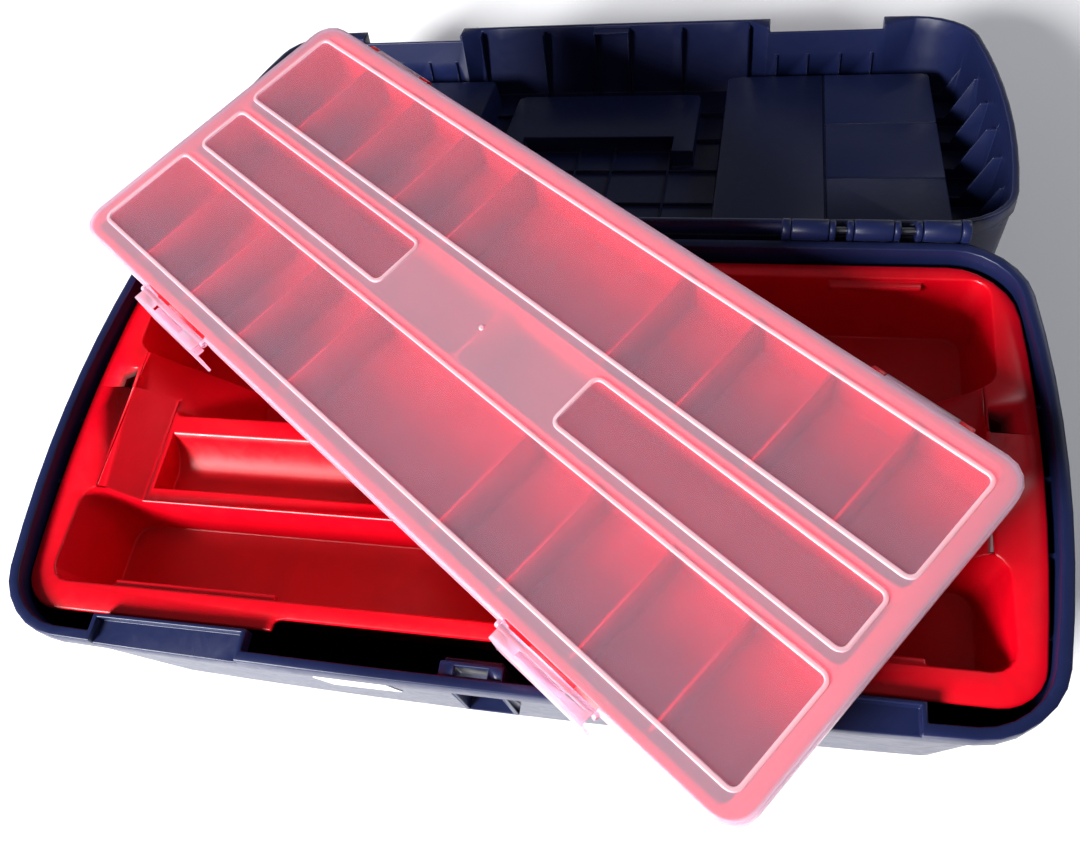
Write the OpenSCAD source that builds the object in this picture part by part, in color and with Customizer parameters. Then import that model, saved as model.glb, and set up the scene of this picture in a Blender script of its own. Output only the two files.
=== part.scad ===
// Plastic toolbox with a lift-out tray and a loose organizer box laid across it.
// Origin: centre of the base's underside. X along the length, +Y to the hinge, +Z up.
// The lid is drawn shut and then turned about its hinge to the open position.

/* [Toolbox] */
// Length over the rim
box_len = 600; // [540:10:680]
// Depth over the rim, front to back
box_dep = 296; // [270:2:330]
// Height of the base from floor to rim
base_h = 168; // [150:2:200]
// Height of the lid
lid_h = 63; // [58:1:72]
// Thickness of the moulded walls
wall = 3; // [2.4:0.2:3.4]
// Width of the base's rim
rim_w = 6; // [5:0.5:7]
// Radius of the corners seen from above
corner_r = 37; // [34:1:50]
// How far each end bulges outwards in its middle
end_bow = 15; // [8:1:18]
// How far the front bulges outwards in its middle
front_bow = 5; // [2:1:7]
// How much the base narrows towards the floor, each side
base_draft = 19; // [12:1:22]

/* [Hinge and latches] */
// Angle of the lid from shut to its open stop
lid_open = 196; // [170:1:196]
// Hinge axis behind the rim
hinge_back = 7.5; // [7.3:0.1:9]
// Hinge axis above the rim
hinge_up = 1; // [0.5:0.5:2]
// Radius of the hinge barrels
barrel_r = 6.8; // [6:0.1:7]
// Radius of the hinge pins
pin_r = 2; // [1.5:0.1:2.6]
// Running clearance round every pin
pin_gap = 0.15; // [0.1:0.05:0.25]
// Centre of each latch from the middle of the box
latch_x = 178; // [160:1:190]
// Width of each latch
latch_w = 86; // [70:2:92]
// Angle of the hanging latch from its shut position
latch_hang = 159; // [150:1:160]

/* [Lid pockets and handle] */
// Nearer side of each lid pocket from the middle
pocket_x = 101; // [98:1:106]
// Width of each lid pocket block
pocket_w = 159; // [140:1:160]
// Length of each lid pocket block, front to back
pocket_len = 235; // [200:5:236]
// Depth of the pocket block from the lid's top
pocket_d = 28; // [20:1:32]
// Width of the handle over its arms
handle_w = 150; // [120:2:152]
// Reach of the handle from its pins to the grip
handle_reach = 45; // [40:1:50]
// Depth of the handle's recess
recess_d = 14; // [12:1:18]

/* [Tray] */
// Length of the tray over its flange
tray_len = 582; // [520:2:584]
// Depth of the tray over its flange
tray_dep = 256; // [230:2:258]
// Height of the tray
tray_h = 62; // [50:1:70]
// Radius of the tray's front corners seen from above
tray_r = 22; // [16:1:30]
// Radius of the tray's rear corners seen from above
tray_rear_r = 36; // [30:1:44]
// How far the flange's corners stand forward of its middle
tray_step = 7; // [4:0.5:7]
// Flange below the base's rim
tray_drop = 9; // [6:0.5:12]
// Thickness of the tray's walls and floor
tray_wall = 2.2; // [1.8:0.1:3]
// Height of the two ridges above the tray's floor
ridge_h = 39; // [30:1:42]

/* [Organizer] */
// Length of the organizer over its lid
org_len = 548; // [500:4:580]
// Depth of the organizer over its lid
org_dep = 224; // [200:2:240]
// Height of the organizer
org_h = 42; // [36:1:50]
// Thickness of the organizer's walls
org_wall = 2; // [1.6:0.1:2.6]
// Number of slot-in dividers on each side of the middle, in each outer row
side_dividers = 4; // [2:1:4]
// Pitch of the dividers
divider_pitch = 50; // [40:1:52]
// Turn of the organizer on the box
org_turn = -36; // [-40:1:-30]

/* [Hidden] */
$fn = 48;

// Gap between parts that rest on or face each other
seat = 0.3;

hx = box_len / 2 - end_bow;
y_front = -(box_dep / 2 - front_bow);
y_back = box_dep / 2;

hinge_y = y_back + hinge_back;
hinge_z = base_h + hinge_up;
// Stretches of the right hinge along X: base clips and brackets, lid barrels
hinge_x0 = 148;
clip_spans = [[0, 5.5], [28.5, 32.5], [39, 43], [66.5, 70.5], [79, 83], [105, 110.5]];
barrel_spans = [[5.8, 28.2], [43.3, 66.2], [83.3, 104.7]];
hinge_len = 110.5;

band_h = 14;
niche_w = 26;
niche_h = 62;
ledge_drop = 4.5;
latch_y = -(box_dep / 2) + 0.5;
latch_z = base_h + 30;
latch_t = 3.2;
latch_pin_r = 1.5;
notch_w = latch_w + 4;

block_y0 = y_back - 28 - pocket_len;
block_y1 = y_back - 28;
block_z = base_h + lid_h - pocket_d;
lid_top = base_h + lid_h;
cover_axis = [pocket_x - 2, lid_top + 2.6];
cover_r = 2.4;
cover_ys = [block_y0 + 30, block_y1 - 30];
pocket_wall = 3;
// Rib between each pocket block's plain half and its three cells
pocket_mid = pocket_x + 77;
cell_len = (pocket_len - 4 * pocket_wall) / 3;

handle_z = lid_top - 7;
handle_y = -27;
handle_pin_r = 3;
arm_w = 9;
arm_x = (handle_w - arm_w) / 2;
grip_d = 24;
// Sides of the handle's recess, and its finger part's front and rear
recess_x0 = handle_w / 2 - arm_w - 1.5;
recess_x1 = handle_w / 2 + 1.5;
recess_y0 = handle_y - handle_reach - grip_d / 2 - 20;
recess_y1 = handle_y - handle_reach + 32;
recess_wall = 2.6;
// Lattice ribs of the lid's middle panel
lattice_x = 60;
frame_x = 14.5;

tray_y = 9;
tray_z = base_h - tray_drop;
tray_hx = tray_len / 2 - 10;
tray_y0 = tray_y - tray_dep / 2;
tray_y1 = tray_y + tray_dep / 2;
tray_floor = tray_z - tray_h + tray_wall;
tray_bow = 9;
// Half width of the flange's set-back middle, between the latches
tray_mid_x = latch_x - latch_w / 2 - 15;
// Radius of the compartments' upright corners
tray_in_r = 12;
// Ridges across the tray: front face, channel and rear face
ridge_y0 = -48;
channel_y0 = -36;
channel_y1 = 4;
channel_d = 20;
ridge_y1 = 18;
// Rear compartment between the sloped end blocks
rear_y = 56;
rear_x = 200;
channel_x = 225;

label_x = -80;
label_z = 112;
label_size = [44, 34];

org_tilt = atan((hinge_up + 7) / (box_dep + hinge_back));
org_x = -16;
org_y = 45;
org_z = base_h + seat + (org_y + box_dep / 2) * tan(org_tilt);
ou = org_len / 2;
ov = org_dep / 2;
skirt_t = 1.8;
skirt_h = 14;
bu = ou - skirt_t - 0.8;
bv = ov - skirt_t - 0.8;
base_top = org_h - 2.4;
row_v = 24;
cell_u = bu - 10;
// Length of the outermost cell of each outer row
end_cell = 45.4;
divider_u0 = cell_u - end_cell - divider_pitch * (side_dividers - 1);
divider_us = [for (s = [-1, 1], i = [0:side_dividers - 1]) s * (divider_u0 + divider_pitch * i)];
// Windows beaded on the lid: outer rows and the two of the middle row
window_v0 = 30;
window_v1 = bv - 12;
middle_v = 18;
middle_u0 = 73;
// Centres of the flaps and inner ends of the hinge, set in from the lid's ends
flap_inset = 113;
hinge_inset = 96;
flap_u = ou - flap_inset;
flap_len = 62;
flap_v = -ov - 1.6;
flap_z = org_h - 3;
flap_pin_r = 1.1;
ohinge_v = ov + 4.3;
ohinge_z = org_h - skirt_h + 2;
ohinge_r = 3.4;
opin_r = 1.5;
ohinge_u = ou - hinge_inset;
ohinge_len = 60;

// ---- outlines ----

function arc(cx, cy, r, a0, n) = [for (i = [0:n]) [cx + r * cos(a0 + 90 * i / n), cy + r * sin(a0 + 90 * i / n)]];

// Rounded rectangle whose ends and front bulge; rb is the radius of its rear corners
function outline(hx, y0, y1, r, rb, bow_e, bow_f, n = 6) =
    let (
        h = (y1 - y0) / 2,
        c = (y1 + y0) / 2,
        side = [for (i = [1:7]) y0 + r + (y1 - y0 - r - rb) * i / 8],
        flat = [for (i = [1:9]) -hx + r + (2 * hx - 2 * r) * i / 10],
        raw = concat(
            [for (y = side) [hx, y]],
            arc(hx - rb, y1 - rb, rb, 0, n),
            arc(-hx + rb, y1 - rb, rb, 90, n),
            [for (i = [6:-1:0]) [-hx, side[i]]],
            arc(-hx + r, y0 + r, r, 180, n),
            [for (x = flat) [x, y0]],
            arc(hx - r, y0 + r, r, 270, n)))
    [for (p = raw) [
        p.x + bow_e * p.x / hx * (1 - pow((p.y - c) / h, 2)),
        p.y - (p.y < c ? bow_f * (c - p.y) / h * (1 - pow(p.x / hx, 2)) : 0)]];

function box_outline(d) = let (r = max(corner_r - d, 6))
    outline(hx - d, y_front + d, y_back - d, r, r, end_bow, front_bow);

function ring(points, z) = [for (p = points) [p.x, p.y, z]];

function box_rings(steps) = [for (s = steps) ring(box_outline(s[0]), s[1])];

// Plain rounded rectangle, counter-clockwise
function rect_outline(x0, x1, y0, y1, r, n = 4) = concat(
    arc(x1 - r, y1 - r, r, 0, n), arc(x0 + r, y1 - r, r, 90, n),
    arc(x0 + r, y0 + r, r, 180, n), arc(x1 - r, y0 + r, r, 270, n));

// Solid through rings of equal point count, lowest first
module loft(rings) {
    n = len(rings[0]);
    m = len(rings);
    polyhedron(
        points = [for (r = rings) each r],
        faces = concat(
            [[for (i = [0:n - 1]) i]],
            [for (j = [0:m - 2], i = [0:n - 1]) [j * n + i, (j + 1) * n + i, (j + 1) * n + (i + 1) % n]],
            [for (j = [0:m - 2], i = [0:n - 1]) [j * n + i, (j + 1) * n + (i + 1) % n, j * n + (i + 1) % n]],
            [[for (i = [n - 1:-1:0]) (m - 1) * n + i]]),
        convexity = 6);
}

// Pocket or block between a lower and an upper rounded rectangle [x0, x1, y0, y1]
module taper(low, z0, high, z1, r = 6) {
    loft([ring(rect_outline(low[0], low[1], low[2], low[3], r), z0),
        ring(rect_outline(high[0], high[1], high[2], high[3], r), z1)]);
}

module slab(points, z, h) {
    translate([0, 0, z]) linear_extrude(height = h) polygon(points);
}

module block(x0, x1, y0, y1, z0, z1) {
    translate([x0, y0, z0]) cube([x1 - x0, y1 - y0, z1 - z0]);
}

module both_sides() {
    children();
    mirror([1, 0, 0]) children();
}

module x_rod(r, x0, x1) {
    translate([x0, 0, 0]) rotate([0, 90, 0]) cylinder(r = r, h = x1 - x0);
}

// Puts a part drawn with the lid shut where the open lid carries it
module on_lid() {
    translate([0, hinge_y, hinge_z]) rotate([-lid_open, 0, 0]) translate([0, -hinge_y, -hinge_z]) children();
}

// ---- base ----

function base_inset(z) = 3 + base_draft * (base_h - 16 - z) / (base_h - 24);

module base_body() {
    slab(box_outline(base_inset(8) + 4), 0, 6);
    loft(box_rings([[base_inset(8) + 3, 3], [base_inset(8), 8], [3, base_h - band_h - 2],
        [0, base_h - band_h], [0, base_h]]));
}

module base_hollow() {
    loft(box_rings([[base_inset(8) + wall + 3, wall], [base_inset(8) + wall, wall + 6],
        [rim_w, base_h - band_h - 2], [rim_w, base_h + 1]]));
}

// Ledge that the latch closes over: a shallow step in the front rim
module latch_ledge() {
    block(latch_x - notch_w / 2 - 3, latch_x + notch_w / 2 + 3, y_front + 2, y_front + 14.5,
        base_h - 9, base_h);
}

module latch_ledge_cut() {
    block(latch_x - notch_w / 2, latch_x + notch_w / 2, y_front - 20, y_front + 12,
        base_h - ledge_drop, base_h + 1);
}

// Tab that a padlock's shackle passes through, above a niche in the front wall
module padlock_staple() {
    block(-17.5, 17.5, -y_back + 4, -y_back + 14.5, base_h - 6, base_h - 2);
    block(-niche_w / 2 - wall, niche_w / 2 + wall, -y_back + 3, -y_back + 14 + wall, base_h - niche_h - wall, base_h - 5);
}

module padlock_niche() {
    block(-niche_w / 2, niche_w / 2, -box_dep, -y_back + 14, base_h - niche_h, base_h - band_h - 3);
    block(-9, 9, -y_back + 6.8, -y_back + 12, base_h - band_h - 4, base_h);
}

// Ribs inside each end that carry the tray's flange
module tray_ribs() {
    intersection() {
        for (y = [-88, -44, 0, 44, 88])
            block(tray_hx - 1, box_len / 2, y - 1.2, y + 1.2, base_h - 90, tray_z - 3 - seat);
        loft(box_rings([[base_inset(8) + 1, 8], [4, base_h - band_h - 2], [4, base_h]]));
    }
}

module base_knuckles() {
    for (s = clip_spans) translate([hinge_x0, hinge_y, hinge_z]) {
        x_rod(s == clip_spans[0] || s == clip_spans[5] ? barrel_r + 0.2 : barrel_r - 0.8, s[0], s[1]);
        block(s[0], s[1], -hinge_back - 1.5, 0, -15, -2);
    }
}

module base_shell() {
    color("#1d2647") difference() {
        union() {
            difference() {
                base_body();
                base_hollow();
            }
            both_sides() {
                latch_ledge();
                tray_ribs();
                base_knuckles();
            }
            padlock_staple();
        }
        padlock_niche();
        both_sides() {
            latch_ledge_cut();
            translate([hinge_x0, hinge_y, hinge_z]) x_rod(pin_r + pin_gap, -1, hinge_len + 1);
        }
    }
}

// ---- lid, drawn shut ----

module lid_body() {
    loft(box_rings([[0, base_h + seat], [0, base_h + 10], [1.5, base_h + 12], [5, base_h + 50],
        [6.5, lid_top - 5], [10, lid_top - 1], [14, lid_top]]));
}

module lid_hollow() {
    loft(box_rings([[wall + 1, base_h - 1], [wall + 1, base_h + 12], [wall + 4.5, base_h + 50],
        [wall + 6, lid_top - wall]]));
}

// Inward step of the front wall behind each latch
module latch_bulge() {
    slab([[latch_x - 62, y_front - 1], [latch_x - 47, y_front + 12.5], [latch_x + 47, y_front + 12.5],
        [latch_x + 72, y_front + 1], [latch_x + 72, y_front - 1]], base_h + seat, 46);
    for (x = [-38, -13, 13, 38])
        block(latch_x + x - 0.8, latch_x + x + 0.8, y_front + 12, y_front + 14.5, base_h + 24, base_h + 46);
}

module latch_bulge_cut() {
    block(latch_x - notch_w / 2, latch_x + notch_w / 2, y_front - 30, y_front + 10, base_h - 1, base_h + 43);
    block(latch_x - notch_w / 2, latch_x + notch_w / 2, y_front - 30, y_front + 20, base_h - 1, base_h + 5);
    translate([0, latch_y, latch_z])
        x_rod(latch_pin_r + pin_gap, latch_x - latch_w / 2 - 7, latch_x + latch_w / 2 + 7);
}

module latch_lugs() {
    for (x = [latch_x - latch_w / 2 - 6.5, latch_x + latch_w / 2 + 0.5]) {
        translate([0, latch_y, latch_z]) x_rod(4, x, x + 6);
        block(x, x + 6, latch_y, y_front + 4, latch_z - 4, latch_z + 4);
    }
}

module pocket_block() {
    taper([pocket_x, pocket_x + pocket_w, block_y0, block_y1], block_z,
        [pocket_x - 3, pocket_x + pocket_w + 3, block_y0 - 3, block_y1 + 3], lid_top, 5);
}

module pocket_cells() {
    taper([pocket_x + pocket_wall, pocket_mid - pocket_wall / 2, block_y0 + pocket_wall, block_y1 - pocket_wall],
        block_z + pocket_wall,
        [pocket_x + pocket_wall - 1, pocket_mid - pocket_wall / 2, block_y0 + 2, block_y1 - 2], lid_top + 1, 4);
    for (i = [0:2]) {
        y = block_y0 + pocket_wall + i * (cell_len + pocket_wall);
        taper([pocket_mid + pocket_wall / 2, pocket_x + pocket_w - pocket_wall, y, y + cell_len],
            block_z + pocket_wall,
            [pocket_mid + pocket_wall / 2, pocket_x + pocket_w - pocket_wall + 1, y, y + cell_len],
            lid_top + 1, 4);
        if (i > 0)
            block(pocket_mid - 0.7, pocket_x + pocket_w + 5, y - pocket_wall / 2 - 0.7, y - pocket_wall / 2 + 0.7,
                block_z - 1, block_z + 1);
    }
    block(pocket_mid - 0.7, pocket_mid + 0.7, block_y0 - 5, block_y1 + 5, block_z - 1, block_z + 1);
    block(pocket_x - 1, pocket_x + pocket_w + 1, block_y0 - 1, block_y1 + 1, lid_top - 2.2, lid_top + 1);
}

module cover_lugs() {
    r = cover_r + 0.2;
    for (y = cover_ys, s = [-1, 1]) translate([cover_axis[0], y + s * 11.8, cover_axis[1]]) {
        rotate([90, 0, 0]) cylinder(r = r, h = 3, center = true);
        block(-r, r - 0.6, -1.5, 1.5, -5.5, 0);
    }
}

module cover_lug_bores() {
    for (y = cover_ys)
        translate([cover_axis[0], y, cover_axis[1]]) rotate([90, 0, 0])
            cylinder(r = 1.5 + pin_gap, h = 40, center = true);
}

// Outer recess of the carry handle: a deep part for the fingers and two arm channels
module handle_recess(grow, z) {
    plan = [-recess_x1 - grow, recess_x1 + grow, recess_y0 - grow, recess_y1 + grow];
    top = lid_top + (grow > 0 ? 0 : 1);
    taper(plan, z, plan, top, 6);
    both_sides() block(recess_x0 - grow, recess_x1 + grow, recess_y1 - 10, handle_y + 9 + grow, z, top);
}

// Low stiffening ribs inside the lid's panel and up its front wall
module lid_ribs() {
    z = lid_top - wall;
    for (x = [-lattice_x, -frame_x, frame_x, lattice_x]) {
        block(x - 0.8, x + 0.8, recess_y1 - 2, block_y1 + 18, z - 3, z + 1);
        block(x - 0.8, x + 0.8, y_front + 5, recess_y0, z - 3, z + 1);
        block(x - 0.8, x + 0.8, y_front - 1, y_front + 7.5, base_h + 4, z + 1);
    }
    block(-frame_x - 0.8, frame_x + 0.8, y_front - 1, y_front + 7.5, base_h + 3, base_h + 5);
    for (y = [-5, 41, 100]) block(-pocket_x, pocket_x, y - 0.8, y + 0.8, z - 3, z + 1);
    both_sides() {
        for (y = [recess_y0 + 9, recess_y1 - 12]) block(recess_x1, pocket_x, y - 0.8, y + 0.8, z - 3, z + 1);
        block(latch_x - 62.8, latch_x - 61.2, y_front - 1, y_front + 7.5, base_h + 3, z + 1);
    }
}

// Corner gussets between the panel and each end wall
module lid_gussets() {
    z = lid_top - wall;
    x = pocket_x + pocket_w;
    for (i = [0:5]) translate([0, block_y0 + 2 + 38 * i, 0]) rotate([90, 0, 0])
        linear_extrude(height = 1.6, center = true)
            polygon([[x, z + 1], [x, z - 8], [x + 12, z - 8], [x + 28, z - 40], [x + 60, z - 40], [x + 60, z + 1]]);
}

module lid_barrels() {
    for (s = barrel_spans) translate([hinge_x0, hinge_y, hinge_z]) {
        x_rod(barrel_r, s[0], s[1]);
        block(s[0], s[1], -hinge_back - 1.5, 0, 0.5, barrel_r);
    }
}

module lid_shut() {
    difference() {
        union() {
            difference() {
                lid_body();
                lid_hollow();
            }
            both_sides() {
                latch_bulge();
                latch_lugs();
                pocket_block();
                cover_lugs();
                lid_barrels();
                intersection() {
                    lid_gussets();
                    loft(box_rings([[1.5, base_h + 12], [6.5, base_h + 50], [8, lid_top - 1]]));
                }
            }
            handle_recess(recess_wall, lid_top - recess_d - wall);
            lid_ribs();
        }
        handle_recess(0, lid_top - recess_d);
        both_sides() {
            latch_bulge_cut();
            pocket_cells();
            cover_lug_bores();
            translate([hinge_x0, hinge_y, hinge_z]) x_rod(pin_r + pin_gap, 4, hinge_len - 4);
            translate([0, handle_y, handle_z]) x_rod(handle_pin_r + pin_gap, recess_x0 - 4, recess_x1 + 4);
        }
    }
}

module lid_shell() {
    color("#1d2647") on_lid() lid_shut();
}

// ---- pins, latches, handle and pocket covers ----

module hinge_pin() {
    color("#9aa0a8") translate([hinge_x0, hinge_y, hinge_z]) x_rod(pin_r, 0.3, hinge_len - 0.3);
}

module latch() {
    x0 = latch_x - latch_w / 2;
    x1 = latch_x + latch_w / 2;
    color("#e4001f") on_lid()
        translate([0, latch_y, latch_z]) rotate([-latch_hang, 0, 0]) difference() {
            union() {
                x_rod(3.9, x0, x1);
                block(x0, x1, -0.8 - latch_t, -0.8, -49.5, 0);
                block(x0, x1, -3.9, -0.8, -5, 0);
                block(x0, x1, -1.5, 2.4, -49.5, -46.8);
                block(x0 + 14, x1 - 14, -9, -2, -52, -49.4);
                for (x = [x0, (x0 + x1) / 2 - 1.25, x1 - 2.5]) block(x, x + 2.5, -5.5, -3, -46, -6);
            }
            x_rod(latch_pin_r + pin_gap, x0 - 1, x1 + 1);
        }
}

module latch_pin() {
    color("#9aa0a8") on_lid() translate([0, latch_y, latch_z])
        x_rod(latch_pin_r, latch_x - latch_w / 2 - 6.2, latch_x + latch_w / 2 + 6.2);
}

// Two arms and the grip, drawn folded towards the front
module carry_handle() {
    color("#e4001f") on_lid() translate([0, handle_y, handle_z]) difference() {
        union() {
            both_sides() {
                x_rod(6, arm_x - arm_w / 2, arm_x + arm_w / 2);
                block(arm_x - arm_w / 2, arm_x + arm_w / 2, -handle_reach, 0, -5.5, 5.5);
            }
            translate([0, -handle_reach, 0]) rotate([0, 90, 0]) linear_extrude(height = handle_w, center = true)
                polygon(rect_outline(-6, 6, -grip_d / 2, grip_d / 2, 5.5, 6));
        }
        both_sides() x_rod(handle_pin_r + pin_gap, arm_x - arm_w, arm_x + arm_w);
    }
}

module handle_pin() {
    color("#9aa0a8") on_lid() translate([0, handle_y, handle_z])
        x_rod(handle_pin_r, recess_x0 - recess_wall + 0.2, recess_x1 + recess_wall - 0.2);
}

module pocket_cover() {
    z0 = lid_top - 2.2 + seat;
    color("#dfe6ea") on_lid() {
        difference() {
            slab(rect_outline(pocket_x - 0.6, pocket_x + pocket_w + 0.6, block_y0 - 0.6, block_y1 + 0.6, 4), z0, 2);
            block(pocket_x + pocket_w - 8, pocket_x + pocket_w + 2, -12, 20, z0 - 1, z0 + 3);
        }
        block(pocket_x + pocket_w - 9, pocket_x + pocket_w - 7, -11, 19, z0, z0 + 4);
        for (y = cover_ys) translate([cover_axis[0], y, cover_axis[1]]) {
            rotate([90, 0, 0]) cylinder(r = cover_r, h = 20, center = true);
            rotate([90, 0, 0]) cylinder(r = 1.5, h = 26, center = true);
            block(-0.5, 7.5, -9.5, 9.5, -cover_r, -0.4);
            block(4.5, 7.5, -9.5, 9.5, -3.5, -1);
        }
    }
}

module front_label() {
    y = y_front + base_inset(label_z) - front_bow * (1 - pow(label_x / hx, 2)) - 0.2;
    color("#e9ebee") translate([label_x, y, label_z]) rotate([atan(base_draft / (base_h - 24)), 0, 0])
        block(-label_size[0] / 2, label_size[0] / 2, -0.7, 0, -label_size[1] / 2, label_size[1] / 2);
}

// ---- tray ----

module tray_hollows() {
    z = tray_z;
    f = tray_floor;
    top = ridge_h + f;
    xe = tray_hx - 11;
    // front compartment
    taper([-xe + 6, xe - 6, tray_y0 + 14, ridge_y0], f, [-xe, xe, tray_y0 + 10.5, ridge_y0 + 2], z + 1, tray_in_r);
    // rear compartment, wide behind and between the sloped end blocks
    taper([-xe + 6, xe - 6, rear_y, tray_y1 - 13], f, [-xe, xe, rear_y - 3, tray_y1 - 9.5], z + 1, tray_in_r);
    taper([-rear_x, rear_x, ridge_y1, rear_y + 14], f, [-xe + 6, xe - 6, ridge_y1 - 2, rear_y + 14], z + 1, 5);
    // space above the ridges
    taper([-xe + 28, xe - 28, ridge_y0 - 22, 30], top, [-xe + 6, xe - 6, ridge_y0 - 6, 30], z + 1, 5);
    // channel between the ridges, its rear side concave
    translate([0, 0, top - channel_d]) rotate([90, 0, 90]) linear_extrude(height = 2 * xe - 66, center = true)
        polygon([[channel_y0, channel_d + 1], [channel_y0, 0], [-16, 0], [-13, 1.2], [-8, 4.5], [-3, 9.5],
            [1.5, 16], [channel_y1, channel_d + 1]]);
}

module tray() {
    color("#e4001f") difference() {
        union() {
            difference() {
                slab(outline(tray_hx, tray_y0 - tray_step, tray_y1, tray_r, tray_rear_r, tray_bow, 0), tray_z - 3, 3);
                slab(rect_outline(-tray_mid_x, tray_mid_x, tray_y0 - 3 * tray_step, tray_y0, 4), tray_z - 4, 5);
            }
            taper([-tray_hx + 12, tray_hx - 12, tray_y0 + 11, tray_y1 - 11], tray_z - tray_h,
                [-tray_hx + 8, tray_hx - 8, tray_y0 + 7, tray_y1 - 7], tray_z - 1, tray_in_r + 2);
        }
        difference() {
            tray_hollows();
            both_sides() {
                block(124, 228, tray_y0 + 8, tray_y0 + 15, tray_z - 7, tray_z - 3);
                block(178, 232, tray_y1 - 15, tray_y1 - 8, tray_z - 7, tray_z - 3);
            }
        }
        // hollow underneath the channel
        block(-channel_x, channel_x, channel_y0 + 2, channel_y1 - 2, tray_z - tray_h - 1,
            tray_floor + ridge_h - channel_d - tray_wall);
    }
}

// ---- organizer, drawn about its own centre ----

module on_box() {
    translate([org_x, org_y, org_z]) rotate([org_tilt, 0, 0]) rotate([0, 0, org_turn]) children();
}

module organizer_base() {
    h = base_top - org_wall;
    color("#e4001f") on_box() difference() {
        union() {
            slab(rect_outline(-bu + 1, bu - 1, -bv + 1, bv - 1, 13), 0, org_wall);
            translate([0, 0, org_wall - 0.01]) linear_extrude(height = h) difference() {
                polygon(rect_outline(-bu, bu, -bv, bv, 14));
                polygon(rect_outline(-cell_u, cell_u, row_v + 1, bv - 5, 5));
                polygon(rect_outline(-cell_u, cell_u, -bv + 5, -row_v - 1, 5));
                polygon(rect_outline(-cell_u, -1, -row_v + 1, row_v - 1, 5));
                polygon(rect_outline(1, cell_u, -row_v + 1, row_v - 1, 5));
            }
            // grooves' ribs that hold the slot-in dividers
            for (u = divider_us, s = [-1, 1], d = [-1, 1], v = [row_v + 0.5, bv - 6.7])
                block(u + d * 1.7 - 0.6, u + d * 1.7 + 0.6, min(s * v, s * (v + 2)), max(s * v, s * (v + 2)),
                    org_wall - 0.5, base_top - 3);
            // catches for the two flaps
            for (s = [-1, 1]) block(s * flap_u - 15, s * flap_u + 15, -bv - 5, -bv + 1, org_h - 11, org_h - 8.5);
            // hinge lugs
            for (s = [-1, 1], e = [0, ohinge_len - 8]) translate([s * (ohinge_u + e + 4), 0, 0]) {
                translate([0, ohinge_v, ohinge_z]) x_rod(ohinge_r, -4, 4);
                block(-4, 4, bv - 1, ohinge_v, ohinge_z - 9, ohinge_z - 2.4);
            }
        }
        for (s = [-1, 1]) translate([s * (ohinge_u + ohinge_len / 2), ohinge_v, ohinge_z])
            x_rod(opin_r + pin_gap, -ohinge_len / 2 - 1, ohinge_len / 2 + 1);
    }
}

module organizer_dividers() {
    color("#e4001f") on_box() for (u = divider_us, s = [-1, 1])
        block(u - 0.8, u + 0.8, min(s * (row_v + 1.3), s * (bv - 5.3)), max(s * (row_v + 1.3), s * (bv - 5.3)),
            org_wall + 0.05, base_top - 1.5);
}

// Raised bead round one window of the lid
module bead(u0, u1, v0, v1) {
    translate([0, 0, org_h - 0.2]) linear_extrude(height = 1.4) difference() {
        polygon(rect_outline(u0 - 1.2, u1 + 1.2, v0 - 1.2, v1 + 1.2, 6.2));
        polygon(rect_outline(u0 + 1.2, u1 - 1.2, v0 + 1.2, v1 - 1.2, 3.8));
    }
}

module organizer_lid() {
    gap = flap_len / 2 + 3.5;
    color("#f4c9d2") on_box() difference() {
        union() {
            slab(rect_outline(-ou + 0.9, ou - 0.9, -ov + 0.9, ov - 0.9, 15.1), org_h - 2, 2);
            translate([0, 0, org_h - skirt_h]) linear_extrude(height = skirt_h - 0.8) difference() {
                polygon(rect_outline(-ou, ou, -ov, ov, 16));
                polygon(rect_outline(-ou + skirt_t, ou - skirt_t, -ov + skirt_t, ov - skirt_t, 14.4));
            }
            bead(-cell_u, cell_u, -window_v1, -window_v0);
            bead(-cell_u, cell_u, window_v0, window_v1);
            both_sides() bead(middle_u0, cell_u - 3, -middle_v, middle_v);
            // mark left by the moulding gate
            translate([0, 0, org_h - 0.1]) cylinder(r = 1.6, h = 0.9);
            for (s = [-1, 1]) {
                // ears of the flap's pins
                for (e = [-1, 1]) translate([s * flap_u + e * (flap_len / 2 + 1.6), 0, 0]) {
                    translate([0, flap_v, flap_z]) x_rod(2.2, -1.2, 1.2);
                    block(-1.2, 1.2, flap_v, -ov + skirt_t - 0.2, flap_z - 2.2, flap_z + 2.2);
                }
                // hinge barrel
                translate([s * (ohinge_u + ohinge_len / 2), 0, 0]) {
                    translate([0, ohinge_v, ohinge_z]) x_rod(ohinge_r, -ohinge_len / 2 + 8.3, ohinge_len / 2 - 8.3);
                    block(-ohinge_len / 2 + 8.3, ohinge_len / 2 - 8.3, ov - 1, ohinge_v, ohinge_z, ohinge_z + ohinge_r);
                }
            }
        }
        for (s = [-1, 1]) {
            block(s * flap_u - flap_len / 2 - 0.4, s * flap_u + flap_len / 2 + 0.4, -ov - 5, -ov + skirt_t + 0.5,
                org_h - 20, org_h + 1);
            translate([s * flap_u, flap_v, flap_z]) x_rod(flap_pin_r + pin_gap, -gap, gap);
            translate([s * (ohinge_u + ohinge_len / 2), ohinge_v, ohinge_z])
                x_rod(opin_r + pin_gap, -ohinge_len / 2 + 1, ohinge_len / 2 - 1);
        }
    }
}

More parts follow.
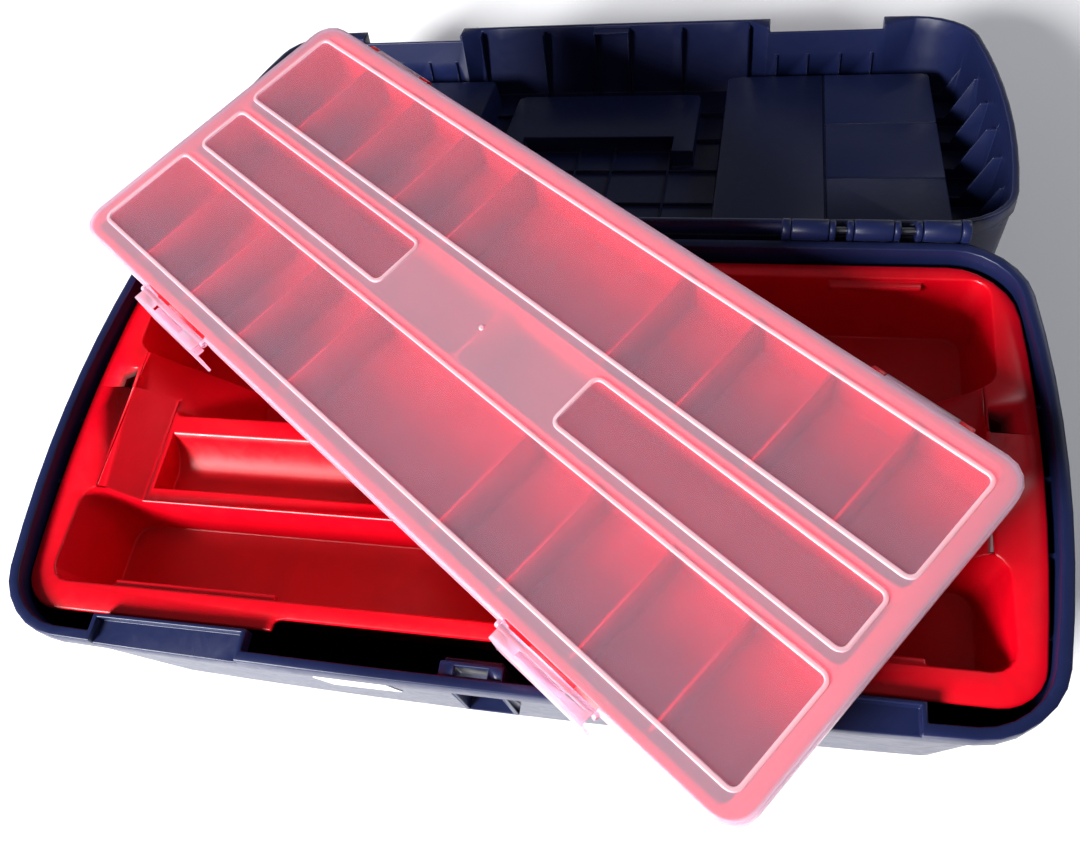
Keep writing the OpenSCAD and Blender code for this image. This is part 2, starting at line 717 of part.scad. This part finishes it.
// Flap that snaps over the base's catch: a slotted top, a front and a small inner lip
module organizer_latch(side) {
    l = flap_len / 2;
    color("#f4c9d2") on_box() translate([side * flap_u, flap_v, flap_z]) difference() {
        union() {
            x_rod(1.9, -l, l);
            x_rod(flap_pin_r, -l - 2.4, l + 2.4);
            block(-l, l, -8.4, 0, 0.1, 1.9);
            block(-l, l, -8.4, -6.6, -24, 1.9);
            block(-l + 6, l - 6, -8.4, -1.6, -13.5, -11.7);
        }
        block(-15, 15, -5.6, -2.2, -1, 3);
    }
}

module organizer_pin(side) {
    color("#9aa0a8") on_box() translate([side * (ohinge_u + ohinge_len / 2), ohinge_v, ohinge_z])
        x_rod(opin_r, -ohinge_len / 2 + 0.3, ohinge_len / 2 - 0.3);
}

base_shell();
lid_shell();
mirror([1, 0, 0]) hinge_pin();  // hinge_pin_left
hinge_pin();  // hinge_pin_right
mirror([1, 0, 0]) latch();  // lid_latch_left
latch();  // lid_latch_right
mirror([1, 0, 0]) latch_pin();  // latch_pin_left
latch_pin();  // latch_pin_right
carry_handle();
mirror([1, 0, 0]) handle_pin();  // handle_pin_left
handle_pin();  // handle_pin_right
mirror([1, 0, 0]) pocket_cover();  // pocket_cover_left
pocket_cover();  // pocket_cover_right
front_label();
tray();
organizer_base();
organizer_dividers();
organizer_lid();
organizer_latch(-1);  // organizer_latch_left
organizer_latch(1);  // organizer_latch_right
organizer_pin(-1);  // organizer_pin_left
organizer_pin(1);  // organizer_pin_right
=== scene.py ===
import math

import bmesh
import bpy
from mathutils import Matrix, Vector


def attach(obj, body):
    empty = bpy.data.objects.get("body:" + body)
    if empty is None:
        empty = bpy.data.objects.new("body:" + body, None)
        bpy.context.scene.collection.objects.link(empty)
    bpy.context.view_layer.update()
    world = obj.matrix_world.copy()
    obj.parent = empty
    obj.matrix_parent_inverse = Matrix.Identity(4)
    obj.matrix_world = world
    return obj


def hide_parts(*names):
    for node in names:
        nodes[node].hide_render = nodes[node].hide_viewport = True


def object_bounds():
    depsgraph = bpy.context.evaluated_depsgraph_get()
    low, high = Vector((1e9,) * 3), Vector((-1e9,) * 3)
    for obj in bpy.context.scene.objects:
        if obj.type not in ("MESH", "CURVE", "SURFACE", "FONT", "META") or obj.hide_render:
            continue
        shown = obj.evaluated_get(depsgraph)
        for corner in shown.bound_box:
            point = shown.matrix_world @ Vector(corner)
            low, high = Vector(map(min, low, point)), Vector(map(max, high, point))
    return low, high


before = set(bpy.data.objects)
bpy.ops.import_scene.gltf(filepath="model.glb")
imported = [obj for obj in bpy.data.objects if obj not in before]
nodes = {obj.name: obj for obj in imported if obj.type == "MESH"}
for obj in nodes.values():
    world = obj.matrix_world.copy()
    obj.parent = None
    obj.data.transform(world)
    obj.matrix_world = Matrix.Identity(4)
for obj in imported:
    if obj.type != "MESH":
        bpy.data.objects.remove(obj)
cad_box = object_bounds()

# ---------------------------------------------------------------- base
# The base of a toolbox: one injection moulding in navy polypropylene, 3 mm thick,
# with a stiff band round its rim, ribs inside the ends and the hinge clips at the back.

NAVY = "#131a3c"
NAVY_WORN = "#2c3866"
BASE_EDGE = 0.0009
FLOW_MM = 90
SCUFF_MM = 14
SAME_PLANE_DEG = 0.5
SHARP_DEG = 28


def linear(colour):
    """An sRGB hex colour as linear red, green, blue and alpha."""
    channels = [int(colour[i : i + 2], 16) / 255 for i in (1, 3, 5)]
    return [c / 12.92 if c <= 0.04045 else ((c + 0.055) / 1.055) ** 2.4 for c in channels] + [1.0]


def add_node(material, kind, settings=None, links=None):
    """A shader node with its properties or socket values set and its inputs linked."""
    made = material.node_tree.nodes.new(kind)
    for name, value in (settings or {}).items():
        if isinstance(name, str) and hasattr(made, name):
            setattr(made, name, value)
        else:
            made.inputs[name].default_value = value
    for name, source in (links or {}).items():
        material.node_tree.links.new(source, made.inputs[name])
    return made


def moulded_polypropylene(name, body, worn, roughness, shine, grain_mm, grain_depth_mm, wear=1.0):
    """Satin injection-moulded PP: flow marks in the colour, fine mould grain, patchy handling gloss."""
    material = bpy.data.materials.new(name)
    material.use_nodes = True
    material.node_tree.nodes.clear()
    place = add_node(material, "ShaderNodeTexCoord").outputs["Object"]
    flow = add_node(material, "ShaderNodeTexNoise",
                    {"Scale": 1000 / FLOW_MM, "Detail": 5.0, "Roughness": 0.6, "Distortion": 0.8},
                    {"Vector": place})
    scuffs = add_node(material, "ShaderNodeTexNoise",
                      {"Scale": 1000 / SCUFF_MM, "Detail": 8.0, "Roughness": 0.72, "Distortion": 1.6},
                      {"Vector": place})
    rubbed = add_node(material, "ShaderNodeMapRange",
                      {"From Min": 0.60, "From Max": 0.82, "To Min": 0.0, "To Max": 0.18 * wear},
                      {"Value": scuffs.outputs["Fac"]})
    tint = add_node(material, "ShaderNodeMapRange",
                    {"From Min": 0.3, "From Max": 0.7, "To Min": 0.90, "To Max": 1.08},
                    {"Value": flow.outputs["Fac"]})
    shade = add_node(material, "ShaderNodeHueSaturation", {"Color": linear(body)},
                     {"Value": tint.outputs[0]})
    colour = add_node(material, "ShaderNodeMix", {"data_type": "RGBA", 7: linear(worn)},
                      {0: rubbed.outputs[0], 6: shade.outputs["Color"]})
    gloss = add_node(material, "ShaderNodeMapRange",
                     {"From Min": 0.3, "From Max": 0.7, "To Min": roughness - 0.05 * wear,
                      "To Max": roughness + 0.07 * wear},
                     {"Value": scuffs.outputs["Fac"]})
    grain = add_node(material, "ShaderNodeTexNoise",
                     {"Scale": 1000 / grain_mm, "Detail": 3.0, "Roughness": 0.55}, {"Vector": place})
    bump = add_node(material, "ShaderNodeBump", {"Strength": 0.5, "Distance": grain_depth_mm / 1000},
                    {"Height": grain.outputs["Fac"]})
    skin = add_node(material, "ShaderNodeBsdfPrincipled", {"IOR": 1.49, "Specular IOR Level": shine},
                    {"Base Color": colour.outputs[2], "Roughness": gloss.outputs[0],
                     "Normal": bump.outputs["Normal"]})
    add_node(material, "ShaderNodeOutputMaterial", {}, {"Surface": skin.outputs["BSDF"]})
    return material


def moulded_piece(name, node, edge, flat_faces=False):
    """A CAD node's shape as one closed skin whose sharp corners get a moulding's small radius."""
    skin = bmesh.new()
    skin.from_mesh(nodes[node].data)
    bmesh.ops.remove_doubles(skin, verts=skin.verts[:], dist=1e-6)
    if flat_faces:
        bmesh.ops.dissolve_limit(skin, angle_limit=math.radians(SAME_PLANE_DEG), verts=skin.verts[:],
                                 edges=skin.edges[:], delimit={"NORMAL"})
    mesh = bpy.data.meshes.new(name)
    skin.to_mesh(mesh)
    skin.free()
    mesh.shade_smooth()
    piece = bpy.data.objects.new(name, mesh)
    bpy.context.scene.collection.objects.link(piece)
    corner = piece.modifiers.new("corner_radius", "BEVEL")
    corner.width = edge
    corner.segments = 2
    corner.limit_method = "ANGLE"
    corner.angle_limit = math.radians(SHARP_DEG)
    corner.use_clamp_overlap = False
    corner.harden_normals = True
    return piece


navy = moulded_polypropylene("navy_moulded_polypropylene", NAVY, NAVY_WORN, 0.36, 0.26, 0.9, 0.035)
base = moulded_piece("base_moulding", "base_shell", BASE_EDGE)
base.data.materials.append(navy)
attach(base, "base")
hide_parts("base_shell")

# ---------------------------------------------------------------- hinge pins
# Two steel rods pushed through the base's clips and the lid's barrels.
# They are cut from drawn wire, so they shine along their length.

DRAWN_STEEL = "#6c7078"


def drawn_steel(name, colour):
    """Drawn steel wire: a bare metal with fine lines along the draw and a dull film of oil."""
    material = bpy.data.materials.new(name)
    material.use_nodes = True
    material.node_tree.nodes.clear()
    place = add_node(material, "ShaderNodeTexCoord").outputs["Object"]
    along = add_node(material, "ShaderNodeMapping", {"Scale": (0.04, 1.0, 1.0)}, {"Vector": place})
    lines = add_node(material, "ShaderNodeTexNoise",
                     {"Scale": 1000 / 0.4, "Detail": 2.0, "Roughness": 0.6}, {"Vector": along.outputs[0]})
    film = add_node(material, "ShaderNodeMapRange",
                    {"From Min": 0.3, "From Max": 0.7, "To Min": 0.22, "To Max": 0.42},
                    {"Value": lines.outputs["Fac"]})
    draw = add_node(material, "ShaderNodeBump", {"Strength": 0.4, "Distance": 0.00002},
                    {"Height": lines.outputs["Fac"]})
    shade = add_node(material, "ShaderNodeMapRange",
                     {"From Min": 0.3, "From Max": 0.7, "To Min": 0.85, "To Max": 1.05},
                     {"Value": lines.outputs["Fac"]})
    tone = add_node(material, "ShaderNodeHueSaturation", {"Color": linear(colour)},
                    {"Value": shade.outputs[0]})
    skin = add_node(material, "ShaderNodeBsdfPrincipled", {"Metallic": 1.0},
                    {"Base Color": tone.outputs["Color"], "Roughness": film.outputs[0],
                     "Normal": draw.outputs["Normal"]})
    add_node(material, "ShaderNodeOutputMaterial", {}, {"Surface": skin.outputs["BSDF"]})
    return material


steel = drawn_steel("drawn_steel_wire", DRAWN_STEEL)
for pin in ("hinge_pin_left", "hinge_pin_right"):
    nodes[pin].data.materials.clear()
    nodes[pin].data.materials.append(steel)

# ---------------------------------------------------------------- label
# A blank film label stuck on the front wall, a little proud of the moulding.
# White printed film with a soft satin face.

LABEL_FILM = "#e6e8ec"
LABEL_EDGE = 0.00025

film = bpy.data.materials.new("white_label_film")
film.use_nodes = True
film.node_tree.nodes.clear()
film_place = add_node(film, "ShaderNodeTexCoord").outputs["Object"]
fibres = add_node(film, "ShaderNodeTexNoise", {"Scale": 1000 / 1.5, "Detail": 4.0}, {"Vector": film_place})
film_shade = add_node(film, "ShaderNodeMapRange",
                      {"From Min": 0.3, "From Max": 0.7, "To Min": 0.96, "To Max": 1.02},
                      {"Value": fibres.outputs["Fac"]})
film_tone = add_node(film, "ShaderNodeHueSaturation", {"Color": linear(LABEL_FILM)},
                     {"Value": film_shade.outputs[0]})
film_skin = add_node(film, "ShaderNodeBsdfPrincipled", {"Roughness": 0.45},
                     {"Base Color": film_tone.outputs["Color"]})
add_node(film, "ShaderNodeOutputMaterial", {}, {"Surface": film_skin.outputs["BSDF"]})
label = moulded_piece("label_film", "front_label", LABEL_EDGE)
label.data.materials.append(film)
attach(label, "base")
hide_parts("front_label")

# ---------------------------------------------------------------- lid
# The lid: a second navy moulding, swung right back on its hinge so that its ribbed inside faces up.
# Two pocket blocks, a lattice of ribs and corner gussets stiffen it.

LID_EDGE = 0.0009

lid = moulded_piece("lid_moulding", "lid_shell", LID_EDGE)
lid.data.materials.append(navy)
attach(lid, "lid")
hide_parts("lid_shell")

# ---------------------------------------------------------------- latches, handle and their pins
# Red polypropylene latches hang from steel pins on the lid's front wall,
# and a red handle with a thick grip folds into the lid's top.

RED = "#ce0016"
RED_WORN = "#e41c2c"
LATCH_EDGE = 0.0006
HANDLE_EDGE = 0.0018

red = moulded_polypropylene("red_moulded_polypropylene", RED, RED_WORN, 0.34, 0.42, 0.9, 0.03)
for side in ("left", "right"):
    latch = moulded_piece(f"latch_{side}_moulding", f"lid_latch_{side}", LATCH_EDGE)
    latch.data.materials.append(red)
    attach(latch, f"latch_{side}")
    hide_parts(f"lid_latch_{side}")
    for pin in (f"latch_pin_{side}", f"handle_pin_{side}"):
        nodes[pin].data.materials.clear()
        nodes[pin].data.materials.append(steel)
handle = moulded_piece("handle_moulding", "carry_handle", HANDLE_EDGE)
handle.data.materials.append(red)
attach(handle, "handle")
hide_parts("carry_handle")

# ---------------------------------------------------------------- pocket covers
# Clear polypropylene doors over the two pockets in the lid's top, hinged at their inner edge.
# The plastic is see-through but slightly milky.

CLEAR = "#e4edf2"
COVER_EDGE = 0.0004

clear = bpy.data.materials.new("clear_polypropylene")
clear.use_nodes = True
clear.node_tree.nodes.clear()
clear_place = add_node(clear, "ShaderNodeTexCoord").outputs["Object"]
haze = add_node(clear, "ShaderNodeTexNoise", {"Scale": 1000 / 25, "Detail": 4.0}, {"Vector": clear_place})
clear_gloss = add_node(clear, "ShaderNodeMapRange",
                       {"From Min": 0.3, "From Max": 0.7, "To Min": 0.08, "To Max": 0.16},
                       {"Value": haze.outputs["Fac"]})
clear_skin = add_node(clear, "ShaderNodeBsdfPrincipled",
                      {"Base Color": linear(CLEAR), "IOR": 1.49, "Transmission Weight": 0.85},
                      {"Roughness": clear_gloss.outputs[0]})
add_node(clear, "ShaderNodeOutputMaterial", {}, {"Surface": clear_skin.outputs["BSDF"]})
for side in ("left", "right"):
    cover = moulded_piece(f"cover_{side}_moulding", f"pocket_cover_{side}", COVER_EDGE)
    cover.data.materials.append(clear)
    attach(cover, f"cover_{side}")
    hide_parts(f"pocket_cover_{side}")

# ---------------------------------------------------------------- tray
# The lift-out tray: a red moulding whose flange sits on the base's ribs,
# with a grooved ridge across its middle between two deep compartments.

TRAY_EDGE = 0.0014

tray = moulded_piece("tray_moulding", "tray", TRAY_EDGE)
tray.data.materials.append(red)
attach(tray, "tray")
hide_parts("tray")

# ---------------------------------------------------------------- organizer
# A separate small-parts case lying across the open box: a red compartment tray with slot-in dividers,
# under a frosted lid with two snap flaps.

ORGANIZER_EDGE = 0.0005
DIVIDER_EDGE = 0.0003

red_inside = moulded_polypropylene("red_polypropylene_under_a_lid", RED, RED_WORN, 0.34, 0.42, 0.9, 0.02,
                                   wear=0.1)
organizer = moulded_piece("organizer_moulding", "organizer_base", ORGANIZER_EDGE)
organizer.data.materials.append(red_inside)
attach(organizer, "organizer")
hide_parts("organizer_base")
dividers = moulded_piece("divider_plates", "organizer_dividers", DIVIDER_EDGE)
dividers.data.materials.append(red_inside)
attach(dividers, "organizer")
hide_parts("organizer_dividers")
for pin in ("organizer_pin_left", "organizer_pin_right"):
    nodes[pin].data.materials.clear()
    nodes[pin].data.materials.append(steel)

# ---------------------------------------------------------------- organizer lid
# Frosted natural polypropylene: light passes but is scattered, so what lies close under the lid
# shows clearly and the compartment floors blur into a pink haze.

FROSTED = "#e8ccdc"
FROSTED_WINDOW = "#e4cade"
FROSTED_THICK = "#f0c6cf"
ORGANIZER_LID_EDGE = 0.0004
# Heights of the lid's two faces, and the tolerances that tell them from its beads, in the organizer's frame
LID_TOP = 0.042
LID_UNDER = 0.040
BEAD_RISE = 0.0003
SAME_HEIGHT = 0.0001
# Distances from the organizer's long middle line that bound its outer windows and its middle ones,
# and how far from its centre the middle ones begin
OUTER_WINDOW = (0.0305, 0.097)
MIDDLE_WINDOW = 0.0175
MIDDLE_WINDOW_START = 0.0735
ORGANIZER_TILT_DEG = 1.5099
ORGANIZER_TURN_DEG = -36
ORGANIZER_PLACE = (Matrix.Translation((-0.016, 0.045, 0.1733873))
                   @ Matrix.Rotation(math.radians(ORGANIZER_TILT_DEG), 4, "X")
                   @ Matrix.Rotation(math.radians(ORGANIZER_TURN_DEG), 4, "Z"))


def frosted_polypropylene(name, colour, clearness, roughness):
    """Frosted natural PP: lamps shine through it, and its fine grain blurs what lies further below."""
    material = bpy.data.materials.new(name)
    material.use_nodes = True
    material.node_tree.nodes.clear()
    place = add_node(material, "ShaderNodeTexCoord").outputs["Object"]
    cloud = add_node(material, "ShaderNodeTexNoise", {"Scale": 1000 / 30, "Detail": 5.0}, {"Vector": place})
    matt = add_node(material, "ShaderNodeMapRange",
                    {"From Min": 0.3, "From Max": 0.7,
                     "To Min": roughness - 0.03, "To Max": roughness + 0.05},
                    {"Value": cloud.outputs["Fac"]})
    grain = add_node(material, "ShaderNodeTexNoise", {"Scale": 1000 / 0.8, "Detail": 2.0}, {"Vector": place})
    bump = add_node(material, "ShaderNodeBump", {"Strength": 0.15, "Distance": 0.00002},
                    {"Height": grain.outputs["Fac"]})
    skin = add_node(material, "ShaderNodeBsdfPrincipled",
                    {"Base Color": linear(colour), "IOR": 1.49, "Transmission Weight": clearness},
                    {"Roughness": matt.outputs[0], "Normal": bump.outputs["Normal"]})
    lamps = add_node(material, "ShaderNodeBsdfTransparent", {"Color": (0.62, 0.50, 0.56, 1.0)})
    rays = add_node(material, "ShaderNodeLightPath")
    mixed = add_node(material, "ShaderNodeMixShader", {},
                     {0: rays.outputs["Is Shadow Ray"], 1: skin.outputs["BSDF"], 2: lamps.outputs["BSDF"]})
    add_node(material, "ShaderNodeOutputMaterial", {}, {"Surface": mixed.outputs["Shader"]})
    return material


frosted = frosted_polypropylene("frosted_polypropylene", FROSTED, 0.78, 0.33)
frosted_window = frosted_polypropylene("frosted_polypropylene_window", FROSTED_WINDOW, 0.915, 0.18)
frosted_thick = frosted_polypropylene("frosted_polypropylene_thick", FROSTED_THICK, 0.45, 0.42)
organizer_lid = moulded_piece("organizer_lid_moulding", "organizer_lid", ORGANIZER_LID_EDGE,
                               flat_faces=True)
MARGIN_SLOT, WINDOW_SLOT, THICK_SLOT = range(3)
for plastic in (frosted, frosted_window, frosted_thick):
    organizer_lid.data.materials.append(plastic)
to_organizer = ORGANIZER_PLACE.inverted()


def in_window(point):
    """Whether a point in the organizer's own frame is inside one of the lid's four beaded windows."""
    across, along = abs(point.y), abs(point.x)
    in_outer_row = OUTER_WINDOW[0] < across < OUTER_WINDOW[1]
    return in_outer_row or (across < MIDDLE_WINDOW and along > MIDDLE_WINDOW_START)


for face in organizer_lid.data.polygons:
    corners = [to_organizer @ organizer_lid.data.vertices[index].co for index in face.vertices]
    height = sum(corner.z for corner in corners) / len(corners)
    on_underside = abs(height - LID_UNDER) < SAME_HEIGHT
    if height > LID_TOP + BEAD_RISE:
        face.material_index = THICK_SLOT
    elif on_underside or abs(height - LID_TOP) < SAME_HEIGHT:
        face.use_smooth = False
        face.material_index = WINDOW_SLOT if on_underside or all(map(in_window, corners)) else MARGIN_SLOT
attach(organizer_lid, "organizer_lid")
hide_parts("organizer_lid")
for side in ("left", "right"):
    flap = moulded_piece(f"organizer_flap_{side}_moulding", f"organizer_latch_{side}", ORGANIZER_LID_EDGE)
    flap.data.materials.append(frosted)
    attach(flap, f"organizer_latch_{side}")
    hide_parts(f"organizer_latch_{side}")

# ---------------------------------------------------------------- floor, light and camera

FLOOR = "#f4f4f5"
FLOOR_GLOW = 0.12
FLOOR_HALF = 6.0
# The floor lies this far under the part, so that their faces never coincide
FLOOR_GAP = 0.0006

floor_mesh = bpy.data.meshes.new("studio_floor")
sheet = bmesh.new()
bmesh.ops.create_grid(sheet, x_segments=2, y_segments=2, size=FLOOR_HALF)
bmesh.ops.translate(sheet, verts=sheet.verts[:], vec=(0, 0, cad_box[0][2] - FLOOR_GAP))
sheet.to_mesh(floor_mesh)
sheet.free()
studio_floor = bpy.data.objects.new("studio_floor", floor_mesh)
bpy.context.scene.collection.objects.link(studio_floor)
paper = bpy.data.materials.new("matte_backdrop_paper")
paper.use_nodes = True
paper.node_tree.nodes.clear()
paper_skin = add_node(paper, "ShaderNodeBsdfPrincipled",
                      {"Base Color": linear(FLOOR), "Roughness": 0.9,
                       "Emission Color": linear(FLOOR), "Emission Strength": FLOOR_GLOW})
add_node(paper, "ShaderNodeOutputMaterial", {}, {"Surface": paper_skin.outputs["BSDF"]})
floor_mesh.materials.append(paper)

sky = bpy.data.worlds.new("soft_room")
sky.use_nodes = True
sky_nodes, sky_links = sky.node_tree.nodes, sky.node_tree.links
height = sky_nodes.new("ShaderNodeSeparateXYZ")
sky_links.new(sky_nodes.new("ShaderNodeTexCoord").outputs["Generated"], height.inputs[0])
wall = sky_nodes.new("ShaderNodeMapRange")
wall.inputs["From Min"].default_value, wall.inputs["From Max"].default_value = 0.35, 0.85
wall.inputs["To Min"].default_value, wall.inputs["To Max"].default_value = 0.20, 0.12
sky_links.new(height.outputs["Z"], wall.inputs["Value"])
sky_links.new(wall.outputs[0], sky_nodes["Background"].inputs["Strength"])
sky_nodes["Background"].inputs["Color"].default_value = linear("#f1f4ff")
bpy.context.scene.world = sky


def softbox(name, place, aim, size, power, colour):
    """A square soft light at place, facing aim."""
    lamp = bpy.data.lights.new(name, "AREA")
    lamp.shape = "SQUARE"
    lamp.size = size
    lamp.energy = power
    lamp.color = linear(colour)[:3]
    holder = bpy.data.objects.new(name, lamp)
    bpy.context.scene.collection.objects.link(holder)
    holder.location = place
    holder.rotation_euler = (Vector(aim) - Vector(place)).to_track_quat("-Z", "Y").to_euler()


softbox("window", (-1.5, -1.9, 1.55), (0, 0.0, 0.1), 0.9, 240, "#ffffff")
softbox("back_strip", (1.6, 1.7, 1.4), (0, 0.2, 0.1), 0.6, 12, "#f4f7ff")
bpy.context.scene.view_settings.view_transform = "Standard"

lens = bpy.data.cameras.new("camera")
lens.sensor_width = 36
lens.lens = 33.18
camera = bpy.data.objects.new("camera", lens)
bpy.context.scene.collection.objects.link(camera)
right = Vector((0.97618715, 0.14706493, -0.1594696))
up = Vector((-0.05377033, 0.87621772, 0.47890631))
back = Vector((0.21016042, -0.45892745, 0.86326021))
turn = Matrix((right, up, back)).transposed().to_4x4()
camera.matrix_world = Matrix.Translation((0.1378, -0.2574, 0.6717)) @ turn
bpy.context.scene.camera = camera
